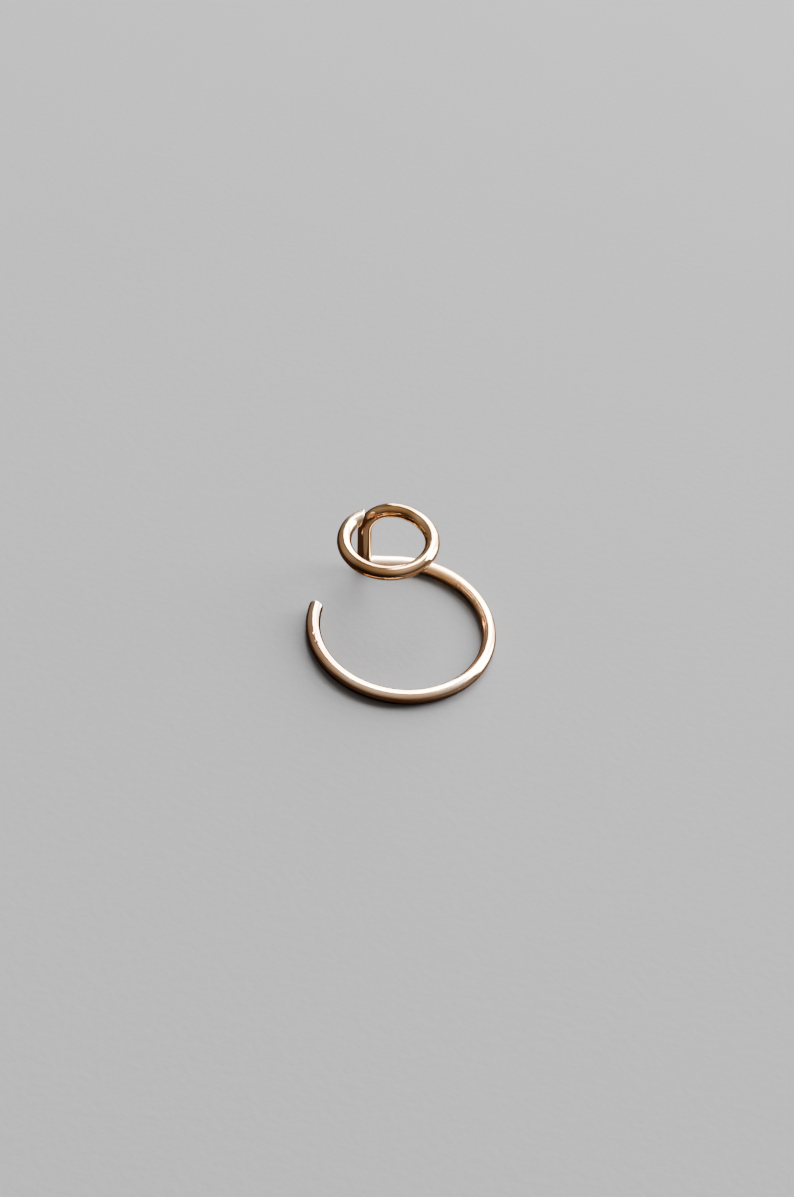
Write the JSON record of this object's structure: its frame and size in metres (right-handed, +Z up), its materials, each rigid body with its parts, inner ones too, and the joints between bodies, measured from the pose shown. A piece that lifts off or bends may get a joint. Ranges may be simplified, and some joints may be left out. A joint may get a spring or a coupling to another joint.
{
  "type": "hoop earring",
  "caption": "Front-back hoop earring of round gold wire: a large open hoop, a short straight post through the lobe and a small ring behind it.",
  "frame": {"origin": "below the middle of the earring's outline, on the surface that the large hoop lies on", "axes": "+Z up, along the post; the large hoop lies flat in XY, with its mouth and the post at the back left, towards -X and +Y"},
  "size_m": [0.016, 0.0162, 0.0078],
  "materials": {
    "gold": "polished yellow gold of a slightly rosy colour, with fine drawing lines and handling scratches"
  },
  "bodies": {
    "root": {"earring_wire": "gold"}
  },
  "joints": []
}
